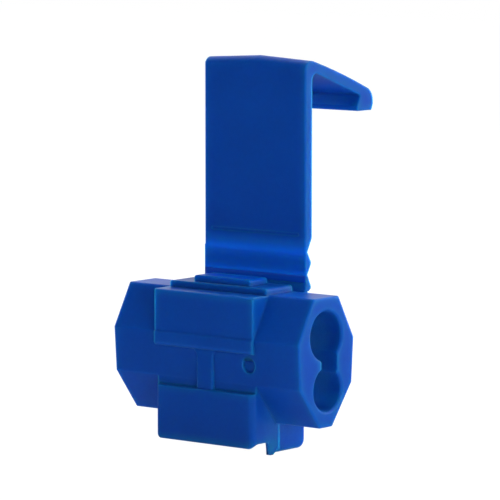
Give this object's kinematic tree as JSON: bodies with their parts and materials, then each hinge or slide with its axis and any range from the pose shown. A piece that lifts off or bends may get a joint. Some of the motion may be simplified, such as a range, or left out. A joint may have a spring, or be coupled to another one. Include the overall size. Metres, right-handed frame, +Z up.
{
  "type": "t-tap wire connector",
  "caption": "Moulded quick-splice tap that joins a branch wire to a running wire, with a press-in slotted contact blade and a living-hinged strap that snaps shut.",
  "frame": {"origin": "on the table plane under the middle of the wire tube, halfway along it", "axes": "+X along the wires towards the tap port's open end, +Y to the back, where the blade is pressed in, +Z up along the open strap"},
  "size_m": [0.02, 0.0163, 0.0329],
  "materials": {
    "moulded_polypropylene": "moulded polypropylene, deep blue, glossy and slightly translucent",
    "tinned_brass": "stamped brass, tin plated"
  },
  "bodies": {
    "housing": {"housing": "moulded_polypropylene"},
    "strap": {"locking_strap": "moulded_polypropylene"},
    "blade": {"contact_blade": "tinned_brass"}
  },
  "joints": [
    {"name": "fold", "type": "hinge", "parent": "housing", "child": "strap", "pos_m": [0, 0.00405, 0.01434], "axis": [-1, 0, 0], "range_deg": [0, 180]},
    {"name": "blade_press", "type": "slide", "parent": "housing", "child": "blade", "axis": [0, -1, 0], "range_m": [0, 0.0042]}
  ],
  "couplings": [
    {"joint": "blade_press", "follows": "fold", "m_per_rad": 0.0013362}
  ]
}
